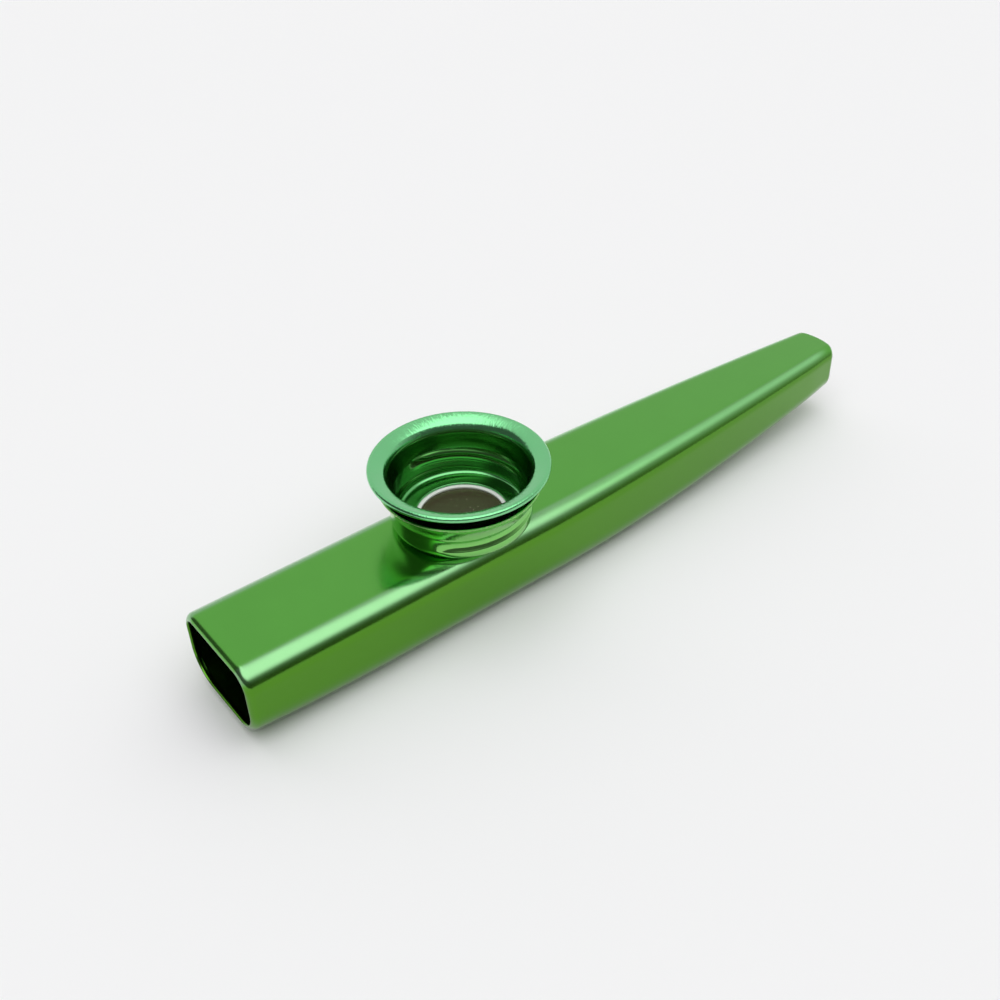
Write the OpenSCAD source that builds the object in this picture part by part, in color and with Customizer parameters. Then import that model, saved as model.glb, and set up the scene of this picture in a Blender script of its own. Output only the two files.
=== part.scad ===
// Metal kazoo with a screw cap, in millimetres, +Z up.
// A thin tube tapers from a wide open end at -X to a mouthpiece at +X.
// A cup stands over a hole in its flat top. A bell-mouthed cap screws into the cup
// and holds down the white ring with the film that buzzes.
// The origin is under the middle of the tube, on the surface that it rests on.

/* [Tube] */
// Length of the tube
body_l = 119; // [110:0.5:140]
// Outer width of its straight part
body_w = 18; // [17.8:0.1:22]
// Outer height at the belly
body_h = 13.2; // [12:0.1:16]
// Outer height of the wide open end
wide_h = 12.1; // [11:0.1:13]
// Outer width of the mouthpiece end
tail_w = 8.8; // [8:0.1:11]
// Outer height of the mouthpiece end
tail_h = 8.5; // [8.2:0.1:10.4]
// Thickness of the wall
body_wall = 0.6; // [0.45:0.05:0.8]
// Length over which the underside rises towards the wide end
heel_l = 22.5; // [18:0.5:30]
// Length from the wide end to where the belly starts to rise
belly_l = 57; // [55:1:70]
// Length from the wide end to where the sides start to draw in
straight_l = 51; // [36:1:54]
// Radius of the upper long edges
top_edge_r = 3.3; // [2.4:0.1:3.4]
// Radius of the lower long edges
low_edge_r = 5.1; // [3.6:0.1:5.3]
// Radius of the two upper long edges at the mouthpiece
tail_top_r = 2; // [1.7:0.1:2.6]
// Radius of the two lower long edges at the mouthpiece
tail_low_r = 3.1; // [2.4:0.1:3.6]
// Outer radius of the rolled-in wide end
lip_r = 1.1; // [0.9:0.05:1.4]
// How far the wide end is rolled in, in degrees
lip_turn = 80; // [60:5:90]
// Outer radius of the rounded-in mouthpiece end
tail_lip_r = 1; // [0.8:0.1:1.4]
// How far the mouthpiece end is rounded in, in degrees
tail_lip_turn = 60; // [40:5:70]
// How far the middle of the mouthpiece end stands out past its sides
tail_bow = 1.1; // [0.6:0.1:2]

/* [Cup on the tube] */
// Length from the wide end to the axis of the cup
cup_from_end = 40.5; // [36:0.5:46]
// Height of the cup
cup_h = 6.6; // [6:0.1:7.6]
// Outer radius of the cup's wall
cup_r = 10.3; // [10.1:0.1:10.7]
// Outer radius of the cup's flared edge
cup_edge_r = 11.75; // [11.5:0.05:12]
// Radius of the cup's foot
foot_r = 1.5; // [1.2:0.1:1.6]
// Thickness of the sheet in the cup and the cap
sheet = 0.3; // [0.25:0.05:0.4]
// Radius of the hole under the film
bore_r = 5.5; // [5:0.1:5.6]
// Width of the edge that is turned over inside the tube
clinch_w = 0.35; // [0.25:0.05:0.35]

/* [Thread] */
// Rise of the thread in one turn
pitch = 3.1; // [2.9:0.1:3.3]
// Depth of the rolled groove
groove = 0.45; // [0.35:0.05:0.5]
// Width of the rolled groove
groove_w = 2; // [1.8:0.1:2.2]
// Gap between the cap's thread and the cup's
thread_gap = 0.18; // [0.15:0.01:0.2]
// Direction in which the cup's groove starts, in degrees round the axis
thread_start = 206; // [0:1:359]

/* [Cap] */
// Height of the rim above the tube
rim_z = 9.8; // [9.4:0.1:11]
// Outer radius of the rim
rim_r = 13; // [12.7:0.1:14]
// Radius of the rim's outer curl
curl_r = 0.45; // [0.45:0.01:0.6]
// Inner radius of the throat, where the bell mouth starts
throat_r = 10.4; // [10.2:0.05:10.8]
// Height of the throat above the tube
throat_z = 7.5; // [7.3:0.1:8]
// Radius of the hole in the cap's floor
flange_r = 6.7; // [6.4:0.1:7]
// How far the cap's floor dips towards its hole
dish = 0.7; // [0.5:0.05:0.8]

/* [Membrane] */
// Inner radius of the white ring
ring_r = 6.15; // [5.8:0.05:6.3]
// Thickness of the white ring
ring_t = 0.3; // [0.2:0.05:0.4]
// Thickness of the film
film_t = 0.05; // [0.04:0.01:0.1]
// Play between the ring and the cup's foot
ring_play = 0.5; // [0.3:0.1:0.8]
// Play above and below the membrane
seat_gap = 0.03; // [0.02:0.01:0.05]

/* [Hidden] */

// Gap between the cup's neck and the hole in the tube
neck_gap = 0.05;
// Gap between the turned-over edge and the flat ceiling, which curves down at the sides
clinch_gap = 0.1;
// Width of the flat round the cap's hole, which presses on the ring
flange_flat = 0.5;
// Inward step at the foot of the cap's wall, and its height
cap_step = 0.25;
cap_step_h = 0.6;
// Height above the tube of the groove's middle where the cup's groove starts
thread_z = 2.5;
// Turn over which a groove starts or ends
end_turn = 25;
// Height of the cup's wall, above which it flares and its groove runs out
cup_wall_z = 3.9;
cup_fade = 0.9;
// Turn from the start of the cup's groove to the end of the cap's
cap_groove_end = 235;
// Height over which the cap's wall widens from the groove's depth to its bands
cap_fade = 0.6;
// Height of the top of the cap's thread zone, above the tube
cap_wall_z = 5.4;
// Where the curves of the cup's flare and of the bell mouth are pulled to
cup_pull = [0.3, 0.6];
bell_pull = [0.12, 0.75];
// Exponents of the belly's rise and of the sides' draw towards the mouthpiece
belly_k = 1.7;
sides_k = 1.5;
// Length over which the mouthpiece end bows out
bow_l = 8;
// How far a hole's cutter reaches past the sheet
cut_over = 1;

// Steps of the meshes: round a turned piece, along an edge, along the tube
turn_steps = 44;
edge_steps = 6;
flat_steps = 4;
tail_steps = 14;
heel_steps = 5;
lip_steps = 4;
thread_steps = 11;

cup_x = cup_from_end - body_l / 2;
hole_r = bore_r + sheet + neck_gap;
film_z = sheet + seat_gap;
ring_z = film_z + film_t;
cap_z = ring_z + ring_t + seat_gap;
ring_outer_r = cup_r - foot_r - ring_play;
cap_r = cup_r - sheet - thread_gap;

function lerp(a, b, t) = a + (b - a) * t;
function clamp01(t) = min(max(t, 0), 1);
function ease(t) = clamp01(t) * clamp01(t) * (3 - 2 * clamp01(t));
function arc(centre, r, from, to, n) =
    [for (i = [0:n]) centre + r * [cos(lerp(from, to, i / n)), sin(lerp(from, to, i / n))]];
function bend(a, b, c, n) =
    [for (i = [1:n]) let (t = i / n) (1 - t) * (1 - t) * a + 2 * t * (1 - t) * b + t * t * c];

// Shape of the tube along its length s, counted from the wide end.
// The sides draw in and the belly rises after their straight lengths.
function draw_in(s) = clamp01((s - straight_l) / (body_l - straight_l));
function half_w(s) = lerp(body_w, tail_w, pow(draw_in(s), sides_k)) / 2;
function heel(s) = clamp01((heel_l - s) / heel_l);
function belly(s) = clamp01((s - belly_l) / (body_l - belly_l));
function floor_z(s) = (body_h - wide_h) * pow(heel(s), 2)
    + (body_h - tail_h) * pow(belly(s), belly_k);
function low_r(s) = lerp(low_edge_r, tail_low_r, draw_in(s));
function high_r(s) = lerp(top_edge_r, tail_top_r, draw_in(s));
function bow(s) = tail_bow * ease((s - body_l + bow_l) / bow_l);
function across(from, to) = [for (i = [1:flat_steps - 1]) lerp(from, to, i / flat_steps)];

// One rounded rectangle round the tube at s, set inwards by the given depth.
// An arc goes round each corner's centre, so the wall is even. Near the mouthpiece
// the rectangle bows, so that its middle is further on than its sides.
function section(s, depth) =
    let (
        yh = half_w(s) - high_r(s),
        yl = half_w(s) - low_r(s),
        zh = body_h - high_r(s),
        zl = floor_z(s) + low_r(s),
        top = body_h - depth,
        low = floor_z(s) + depth,
        outline = concat(
            arc([yh, zh], high_r(s) - depth, 0, 90, edge_steps),
            across([yh, top], [-yh, top]),
            arc([-yh, zh], high_r(s) - depth, 90, 180, edge_steps),
            arc([-yl, zl], low_r(s) - depth, 180, 270, edge_steps),
            across([-yl, low], [yl, low]),
            arc([yl, zl], low_r(s) - depth, 270, 360, edge_steps)
        )
    )
    [for (p = outline) [s - body_l / 2 - bow(s) * pow(p[0] / half_w(s), 2), p[0], p[1]]];

// Stations [s, depth] of the wall's face that lies a given depth in: the curled lip
// at the wide end, the length, and the mirrored lip at the mouthpiece.
function lip(r, turn, depth) = [for (i = [0:lip_steps - 1])
    let (a = turn * (1 - i / lip_steps), inner = r - depth)
    [r * sin(turn) - inner * sin(a), r - inner * cos(a)]];
function flip_end(stations) =
    [for (i = [len(stations) - 1:-1:0]) [body_l - stations[i][0], stations[i][1]]];
lip_l = lip_r * sin(lip_turn);
tail_lip_l = tail_lip_r * sin(tail_lip_turn);
lengths = concat(
    [for (i = [0:heel_steps - 1]) lerp(lip_l, heel_l, i / heel_steps)],
    [heel_l, (heel_l + straight_l) / 2, straight_l],
    [for (i = [0:tail_steps]) lerp(belly_l, body_l - tail_lip_l, i / tail_steps)]
);
function face(depth) = concat(
    lip(lip_r, lip_turn, depth),
    [for (s = lengths) [s, depth]],
    flip_end(lip(tail_lip_r, tail_lip_turn, depth))
);

// Closed surface through rings of equally many points, joined end to end
module closed_rings(rings) {
    n = len(rings);
    m = len(rings[0]);
    points = [for (ring = rings) for (p = ring) p];
    faces = [for (i = [0:n - 1]) for (j = [0:m - 1])
        let (
            a = i * m + j,
            b = i * m + (j + 1) % m,
            c = ((i + 1) % n) * m + (j + 1) % m,
            d = ((i + 1) % n) * m + j
        )
        each [[a, b, c], [a, c, d]]];
    polyhedron(points, faces);
}

// Thread. The groove climbs one pitch in a turn. This is how far round it is, from
// the start of the cup's groove, to the groove's middle nearest to a point.
function along(turn, z) =
    turn - thread_start + 360 * round((z - thread_z) / pitch - (turn - thread_start) / 360);
// Depth of the groove, from 0 on the band to 1 in its middle
function groove_at(turn, z) =
    max(0, 1 - pow((z - thread_z - pitch * along(turn, z) / 360) / (groove_w / 2), 2));

// A turned sheet follows a path of points [radius, height]. The other face lies
// one thickness away, to the side given, on the mitre of each corner.
function side_of(a, b, side) = side * [a[1] - b[1], b[0] - a[0]] / norm(b - a);
function other_face(path, side) = [for (i = [0:len(path) - 1])
    let (
        before = side_of(path[max(i - 1, 0)], path[max(i, 1)], side),
        after = side_of(path[min(i, len(path) - 2)], path[min(i + 1, len(path) - 1)], side)
    )
    path[i] + sheet * (before + after) / (1 + before * after)];
function reversed(list) = [for (i = [len(list) - 1:-1:0]) list[i]];
function turned(x, r, turn, z) = [x + r * cos(turn), r * sin(turn), body_h + z];

// The cup's groove starts at its start and runs out where the wall flares. The cap's
// wall is as deep as the groove at the bottom and has no groove above its end, so
// neither meets the other's thread as the cap turns out.
function cup_groove(turn, z) = groove * groove_at(turn, z)
    * ease(along(turn, z) / end_turn) * (1 - ease((z - cup_wall_z) / cup_fade));
function cap_groove(turn, z) = groove
    * lerp(1, groove_at(turn, z) * (1 - ease((along(turn, z) - cap_groove_end) / end_turn)),
        ease((z - wall_z) / cap_fade));

thread_points = [for (i = [0:thread_steps]) i / thread_steps];

// Underside and outside of the cup, from the clinched edge inside the tube to its rim
cup_path = concat(
    [
        [hole_r + clinch_w, -body_wall - clinch_gap],
        [hole_r - neck_gap, -body_wall - clinch_gap],
        [hole_r - neck_gap, 0]
    ],
    arc([cup_r - foot_r, foot_r], foot_r, -90, 0, 4),
    [for (t = thread_points) if (t > 0) [cup_r, lerp(foot_r, cup_wall_z, t)]],
    bend([cup_r, cup_wall_z],
        [lerp(cup_r, cup_edge_r, cup_pull[0]), lerp(cup_wall_z, cup_h, cup_pull[1])],
        [cup_edge_r, cup_h], 6)
);

// Upper and inner face of the cap, from the hole in its floor to the curled rim
cap_in_r = cap_r - sheet;
wall_z = cap_z + sheet + dish + cap_step_h;
bell_end = [rim_r - curl_r, rim_z];
cap_path = concat(
    [
        [flange_r, cap_z + sheet],
        [flange_r + flange_flat, cap_z + sheet],
        [cap_in_r - groove - cap_step, cap_z + sheet + dish]
    ],
    bend([cap_in_r - groove - cap_step, cap_z + sheet + dish],
        [cap_in_r - groove - cap_step / 4, cap_z + sheet + dish + cap_step / 4],
        [cap_in_r, wall_z], 3),
    [for (t = thread_points) if (t > 0) [cap_in_r, lerp(wall_z, cap_wall_z, t)]],
    bend([cap_in_r, cap_wall_z], [lerp(cap_in_r, throat_r, 0.7), lerp(cap_wall_z, throat_z, 0.4)],
        [throat_r, throat_z], 4),
    bend([throat_r, throat_z],
        [lerp(throat_r, bell_end[0], bell_pull[0]), lerp(throat_z, rim_z, bell_pull[1])],
        bell_end, 6),
    [for (i = [1:5]) let (a = 90 - 30 * i) bell_end - [0, curl_r] + curl_r * [cos(a), sin(a)]]
);

// Rings of a turned sheet whose wall carries the cup's or the cap's groove.
// Both faces of a point take the groove at the path's own height.
function sheet_rings(path, side, in_cap) =
    let (
        other = other_face(path, side),
        count = len(path),
        face_points = concat(path, reversed(other)),
        heights = concat([for (p = path) p[1]], [for (p = reversed(path)) p[1]]),
        radii = concat([for (p = path) p[0]], [for (p = reversed(path)) p[0]])
    )
    [for (i = [0:2 * count - 1])
        [for (j = [0:turn_steps - 1])
            let (
                turn = 360 * j / turn_steps,
                depth = in_cap
                    ? (radii[i] > cap_in_r - groove - cap_step / 8 ? cap_groove(turn, heights[i]) : 0)
                    : (radii[i] > cup_r - foot_r ? cup_groove(turn, heights[i]) : 0)
            )
            turned(cup_x, face_points[i][0] - depth, turn, face_points[i][1])]];

// The tube: a lofted shell with a round hole through its flat top
module body() {
    color("#4f9a3c")
    difference() {
        closed_rings([for (p = concat(face(0), reversed(face(body_wall)))) section(p[0], p[1])]);
        translate([cup_x, 0, body_h - body_wall - cut_over])
            cylinder(h = body_wall + 2 * cut_over, r = hole_r, $fn = 96);
    }
}

// The cup: its neck goes through the hole and is turned over inside
module cup() {
    color("#5fb468")
    difference() {
        closed_rings(sheet_rings(cup_path, 1, false));
        translate([cup_x, 0, body_h - 3 * cut_over])
            cylinder(h = 4 * cut_over, r = bore_r, $fn = 96);
    }
}

// The cap: a dished floor, a threaded wall and a bell mouth with a curled rim
module cap() {
    color("#76c27c")
    difference() {
        closed_rings(sheet_rings(cap_path, -1, true));
        translate([cup_x, 0, body_h])
            cylinder(h = 2 * cut_over, r = flange_r, $fn = 96);
    }
}

// White plastic ring, bonded round the edge of the film
module membrane_ring() {
    color("white")
    translate([cup_x, 0, body_h + ring_z])
        rotate_extrude($fn = 96)
            translate([ring_r, 0])
                square([ring_outer_r - ring_r, ring_t]);
}

// The film that buzzes
module membrane_film() {
    color("#6b6a50", 0.6)
    translate([cup_x, 0, body_h + film_z])
        cylinder(h = film_t, r = ring_outer_r, $fn = 96);
}

body();
cup();
cap();
membrane_ring();
membrane_film();
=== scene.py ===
"""Looks of a green metal kazoo with a screw cap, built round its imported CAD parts.

Everything is in metres, in the row frame of the CAD parts: +X runs along the tube
from its wide end to the mouthpiece and +Z is up. The sizes repeat those of the CAD
source, so each fine surface lies on the solid that it stands for. Only the cap's
throat, the corner of its floor and the foot of its wall follow the photo more closely.
That foot is wider than the solid's. It is clear of the cup at rest and at the limits,
but cuts into the cup's groove between them, while the cap turns out.
"""

import math

import bmesh
import bpy
import numpy as np
from bpy.props import FloatProperty, FloatVectorProperty, PointerProperty
from bpy.types import Operator, Panel, PropertyGroup
from mathutils import Matrix


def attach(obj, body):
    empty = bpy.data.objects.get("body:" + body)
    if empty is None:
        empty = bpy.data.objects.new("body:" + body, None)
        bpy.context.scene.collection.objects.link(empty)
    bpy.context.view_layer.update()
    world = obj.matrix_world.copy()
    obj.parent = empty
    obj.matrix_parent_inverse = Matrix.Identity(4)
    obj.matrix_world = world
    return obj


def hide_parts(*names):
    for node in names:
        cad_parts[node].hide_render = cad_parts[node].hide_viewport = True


bl_info = {
    "name": "Metal kazoo",
    "version": (1, 0, 0),
    "blender": (4, 5, 0),
    "location": "View3D > Sidebar > Kazoo",
    "description": "Builds a metal kazoo with a screw cap, its finishes and its stage",
    "category": "Object",
}

MM = 0.001
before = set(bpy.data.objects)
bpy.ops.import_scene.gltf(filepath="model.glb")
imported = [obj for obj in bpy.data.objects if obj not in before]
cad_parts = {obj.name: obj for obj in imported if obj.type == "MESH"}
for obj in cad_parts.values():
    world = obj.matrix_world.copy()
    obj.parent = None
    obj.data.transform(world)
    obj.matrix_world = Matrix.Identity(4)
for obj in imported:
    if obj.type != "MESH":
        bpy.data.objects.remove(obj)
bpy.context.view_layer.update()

# Columns of the tube's grid: on the arc of each corner, and on the flat after it
ARC_STEPS = 14
FLAT_STEPS = (24, 10, 12, 10)
# Its rings: on the rolled-in wide end and mouthpiece, and between the places where the
# shape changes
LIP_STEPS, TAIL_STEPS = 12, 14
LENGTH_POINTS = (34, 44, 64, 24)
# The window cut into that grid for the hole: its margin along the tube, its columns
# past the flat on both sides, and the rings from its edge to the hole
WINDOW_MARGIN = 0.8 * MM
WINDOW_COLUMNS = 2
SPOKE_STEPS = 4
# Points round the sheets, the ring and the film, and the rings of the film
SHEET_STEPS, RING_STEPS, FILM_STEPS, FILM_RINGS = 300, 240, 120, 40

# How the tube's shape changes along it, as powers of the way
DRAW_POWER, BELLY_POWER = 1.5, 1.7

# Where the tube's painted shade and painted highlights come in, by the tilt of a face
# from level, in degrees, and by the share of the length: a darker, more olive tone is
# painted on the sides as shade, and paler tones on the upper bends as highlights. Each
# pair is where a change starts and how far it goes on.
SIDE_FROM = (40, 35)
BEND_FROM, BEND_TO = (4, 10), (44, 16)
TIP_FROM, TIP_TO = (12, 12), (32, 14)
FAR_FROM, FAR_TO = (0.38, 0.25), (0.95, 0.04)

# How bare the cut edges are: on the mouthpiece, inside the wide end, on the cup's
# flare, and on the hole and the rim of the cap
TAIL_BARE, WIDE_BARE, FLARE_BARE, HOLE_BARE, RIM_BARE = 0.6, 0.12, 0.4, 0.3, 0.6

# The groove: how far round it fades in or out, how far it fades out up the cup's flare
# and in above the cap's corner, and how round its own corners are
GROOVE_FADE = math.radians(25)
FLARE_FADE = 0.9 * MM
FOOT_FADE = 0.6 * MM
GROOVE_ROUNDING = 0.004

# Where the drawing streaks are read: on a circle of this radius, and at this share of
# the way along the profile, which draws them out
STREAK_RADIUS = 10 * MM
STREAK_PACE = 0.35

# Light of the room: its far half, its unlit near side and the panel overhead
FAR_LIGHT = (0.78, 0.78, 0.78, 1)
NEAR_LIGHT = (0.12, 0.12, 0.12, 1)
PANEL_LIGHT = (1.9, 1.9, 1.97, 1)

# Soft edges in that light. Each is the azimuth and the tilt of an axis in degrees, and
# the parts of a direction along it at which the edge starts and ends. The panel has a
# far right, a level and a far left edge.
UNLIT_LEFT = ((-160, 0), 0.05, 0.22)
UNLIT_FRONT = ((-115, -20), -0.35, 0.7)
PANEL_EDGES = (((-145, 20), -0.1, 0.1), ((0, 90), 0.5, 0.82), ((-60, 30), -0.05, 0.25))

# The photo's camera: azimuth, elevation and roll in degrees, distance from its aim in
# metres, focal length and middle of the picture in pixels, and where the aim is seen,
# in pixels, and lies, in metres from the wide end
CAMERA_TURNS = (-36.777, 37.707, -2.184)
CAMERA_DISTANCE, CAMERA_FOCAL, PICTURE_MIDDLE = 0.173502, 1196.547, 500.0
AIM_X, AIM_Y, AIM_FROM_END = 462.164, 516.218, 0.040491
# What it clips, in metres, and the width of its sensor in millimetres
CAMERA_CLIP = (0.005, 10.0)
SENSOR_WIDTH = 36.0
# Half the width of the floor in metres
FLOOR_REACH = 6.0


# Sizes and colours


def linear(hex_code):
    """Linear colour of an sRGB hex code.

    Each part c is ((c + 0.055) / 1.055) to the power 2.4, or c / 12.92 when dark.
    """
    parts = [int(hex_code[i : i + 2], 16) / 255 for i in (1, 3, 5)]
    return tuple(
        c / 12.92 if c <= 0.04045 else ((c + 0.055) / 1.055) ** 2.4 for c in parts
    )


def distance(name, millimetres, description):
    """A length that the user can change, kept in metres."""
    return FloatProperty(
        name=name,
        description=description,
        default=millimetres * MM,
        min=0.0,
        precision=5,
        subtype="DISTANCE",
        unit="LENGTH",
    )


def turn_angle(name, degrees, description):
    """An angle that the user can change, kept in radians."""
    return FloatProperty(
        name=name,
        description=description,
        default=math.radians(degrees),
        subtype="ANGLE",
        unit="ROTATION",
    )


def colour(name, hex_code, description):
    """A colour that the user can change, given as an sRGB hex code and kept linear."""
    return FloatVectorProperty(
        name=name,
        description=description,
        default=linear(hex_code),
        size=3,
        min=0.0,
        max=1.0,
        subtype="COLOR",
    )


class KazooTubeSizes(PropertyGroup):
    """Sizes of the tube"""

    length: distance("Length", 119, "From the wide end to the mouthpiece")
    width: distance("Width", 18, "Outer width of the straight part")
    height: distance("Height", 13.2, "Outer height at the belly")
    wide_height: distance("Wide end height", 12.1, "Outer height at the wide end")
    tail_width: distance("Mouthpiece width", 8.8, "Outer width at the mouthpiece")
    tail_height: distance("Mouthpiece height", 8.5, "Outer height at the mouthpiece")
    wall: distance("Wall", 0.6, "Thickness of the tube's wall")
    heel: distance("Heel", 22.5, "Length over which the underside rises there")
    belly_from: distance("Belly rises from", 57, "From the wide end")
    draw_from: distance("Sides draw in from", 51, "From the wide end")
    top_edge: distance("Upper edge radius", 3.3, "Radius of the upper long edges")
    low_edge: distance("Lower edge radius", 5.1, "Radius of the lower long edges")
    tail_top: distance("Mouthpiece upper edge", 2, "Radius of the upper edges there")
    tail_low: distance("Mouthpiece lower edge", 3.1, "Radius of the lower edges there")
    lip: distance("Wide lip radius", 1.1, "Outer radius of the rolled-in wide end")
    lip_turn: turn_angle("Wide lip turn", 80, "How far the wide end is rolled in")
    tail_lip: distance("Mouthpiece lip radius", 1, "Outer radius of that end")
    tail_turn: turn_angle("Mouthpiece lip turn", 60, "How far that end is rounded in")
    bow: distance("Mouthpiece bow", 1.1, "How far its middle stands out past its sides")
    bow_length: distance("Bow length", 8, "Length over which that end bows out")


class KazooCupSizes(PropertyGroup):
    """Sizes of the cup and of the thread"""

    from_end: distance("From the wide end", 40.5, "Distance of the cup's axis")
    height: distance("Height", 6.6, "Height of the cup above the tube")
    radius: distance("Wall radius", 10.3, "Outer radius of the cup's wall")
    edge: distance("Edge radius", 11.75, "Outer radius of the flared edge")
    foot: distance("Foot radius", 1.5, "Radius of the rounded foot")
    sheet: distance("Sheet", 0.3, "Thickness of the sheet in cup and cap")
    bore: distance("Bore radius", 5.5, "Radius of the hole under the film")
    clinch: distance("Turned edge", 0.35, "Width of the edge turned over inside")
    clinch_gap: distance("Turned edge gap", 0.1, "Gap from that edge to the ceiling")
    gap: distance("Neck gap", 0.05, "Gap between the neck and the tube")
    wall_top: distance("Wall height", 3.9, "Height where the flare starts")
    pitch: distance("Thread pitch", 3.1, "Rise of the thread in one turn")
    groove: distance("Groove depth", 0.45, "Depth of the rolled groove")
    groove_width: distance("Groove width", 2, "Width of the rolled groove")
    groove_z: distance("Groove start height", 2.5, "Height of its middle there")
    groove_start: turn_angle("Groove start", 206, "Direction where it starts")
    thread_gap: distance("Thread gap", 0.18, "Gap between cap and cup")


class KazooCapSizes(PropertyGroup):
    """Sizes of the cap"""

    rim_z: distance("Rim height", 9.8, "Height of the rim above the tube")
    rim: distance("Rim radius", 13, "Outer radius of the rim")
    curl: distance("Curl radius", 0.45, "Radius of the rim's outer curl")
    throat: distance("Throat radius", 10.2, "Where the bell mouth starts")
    throat_z: distance("Throat height", 8.1, "Height of the throat")
    hole: distance("Hole radius", 6.7, "Radius of the hole in the floor")
    corner: distance("Floor corner", 0.75, "Radius between the floor and the wall")
    wall_top: distance("Wall height", 5.4, "Top of the thread zone")
    groove_end: turn_angle("Groove end", 235, "From the start of the cup's groove")


class KazooMembraneSizes(PropertyGroup):
    """Sizes of the ring and the film"""

    ring: distance("Ring bore radius", 6.15, "Inner radius of the white ring")
    thickness: distance("Ring thickness", 0.3, "Thickness of the white ring")
    film: distance("Film thickness", 0.05, "Thickness of the film")
    play: distance("Ring play", 0.5, "Play between the ring and the cup's foot")
    seat: distance("Seat gap", 0.03, "Play above and below the membrane")


class KazooColours(PropertyGroup):
    """Colours of the finishes"""

    tube: colour("Tube", "#5EAC43", "Green of the satin anodised tube")
    # Painted shade: a darker, more olive tone on the tube's sides
    side: colour("Tube sides", "#528E1E", "The same dye, a little stronger")
    # Painted highlight: a paler tone on the upper bends of the tube
    bend: colour("Tube bends", "#7FB67B", "The same dye, thinner, on the upper bends")
    # Painted highlight: a paler tone on a narrower band of the bends near the
    # mouthpiece
    tip: colour("Far bends", "#8CD487", "Thinner again towards the mouthpiece")
    cup: colour("Cup", "#80C868", "Green of the cup")
    cap: colour("Cap", "#7CD08E", "Cooler green of the bright anodised cap")
    # Painted shade: a darker tone inside the cap, below the bell mouth
    deep: colour("Inside of the cap", "#569A4B", "Stronger dye below the bell mouth")
    bare: colour("Cut edges", "#D9D2B4", "Bare metal where the sheet was cut")
    ring: colour("Ring", "#F1F1EC", "Matt white ring")
    film: colour("Film", "#524C38", "Brownish film over the dark bore")
    dust: colour("Dust", "#C9C6A8", "Pale specks of dust")
    floor: colour("Floor", "#F7F7F5", "Pale floor")


# Arrays and meshes


def smooth_step(t):
    """0 below 0, 1 above 1, and t * t * (3 - 2 t) between."""
    t = np.clip(t, 0.0, 1.0)
    return t * t * (3.0 - 2.0 * t)


def change(value, start, reach):
    """A smooth step from 0 to 1 that starts at a value and goes on for this reach."""
    return smooth_step((value - start) / reach)


def hump(x, width):
    """A smooth hump of height 1 at 0: e to the power -(x / width)^2."""
    return np.exp(-((x / width) ** 2))


def blend(a, b, t):
    """The straight blend a + (b - a) t."""
    return a + (b - a) * t


def between(low, high):
    """A function that gives points as shares of the way out and up between two."""

    def point(out, up):
        return blend(low[0], high[0], out), blend(low[1], high[1], up)

    return point


def curve(start, pull, end, steps):
    """Points after the start on the curve (1-t)^2 start + 2t(1-t) pull + t^2 end."""
    t = np.arange(1, steps + 1)[:, None] / steps
    start, pull, end = (np.array(p, float) for p in (start, pull, end))
    return (1 - t) ** 2 * start + 2 * t * (1 - t) * pull + t * t * end


def long_curve(start, pull, pull_end, end, steps):
    """Points after the start on a curve with two pulls.

    It is (1-t)^3 start + 3t(1-t)^2 pull + 3t^2(1-t) pull_end + t^3 end.
    """
    t = np.arange(1, steps + 1)[:, None] / steps
    points = (np.array(p, float) for p in (start, pull, pull_end, end))
    weights = ((1 - t) ** 3, 3 * t * (1 - t) ** 2, 3 * t * t * (1 - t), t**3)
    return sum(w * p for w, p in zip(weights, points))


def arc(centre, radius, start, end, steps, first=True):
    """Points on a circle round the centre, from one angle in degrees to the other."""
    a = np.radians(np.linspace(start, end, steps + 1))[0 if first else 1 :]
    return np.array(centre, float) + radius * np.column_stack((np.cos(a), np.sin(a)))


def line(start, end, steps):
    """Points after the start on the straight line to the end."""
    t = np.arange(1, steps + 1)[:, None] / steps
    return blend(np.array(start, float), np.array(end, float), t)


def other_face(path, thickness):
    """A sheet's other face, to the left of the path, on the mitre of each corner."""
    step = np.diff(path, axis=0)
    step /= np.linalg.norm(step, axis=1)[:, None]
    left = np.column_stack((-step[:, 1], step[:, 0]))
    before = np.vstack((left[:1], left))
    after = np.vstack((left, left[-1:]))
    cosine = np.sum(before * after, axis=1)[:, None]
    return path + thickness * (before + after) / (1.0 + cosine)


def along_path(path):
    """Distance along the path of each of its points."""
    steps = np.linalg.norm(np.diff(path, axis=0), axis=1)
    return np.concatenate(([0.0], np.cumsum(steps)))


def there_and_back(values):
    """Values along the front of a sheet, and in reverse for its back."""
    return np.concatenate((values, values[::-1]))


def grid_places(rows, columns):
    """Places in a grid, where a single row or column goes with all of the others."""
    return np.column_stack(np.broadcast_arrays(rows, columns))


def ring_faces(rings, columns):
    """Quads of a grid that closes on itself both ways."""
    i, j = np.meshgrid(np.arange(rings), np.arange(columns), indexing="ij")
    i2, j2 = (i + 1) % rings, (j + 1) % columns
    quads = np.stack((i, i2, i2, i), -1) * columns + np.stack((j, j, j2, j2), -1)
    return quads.reshape(-1, 4)


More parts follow.
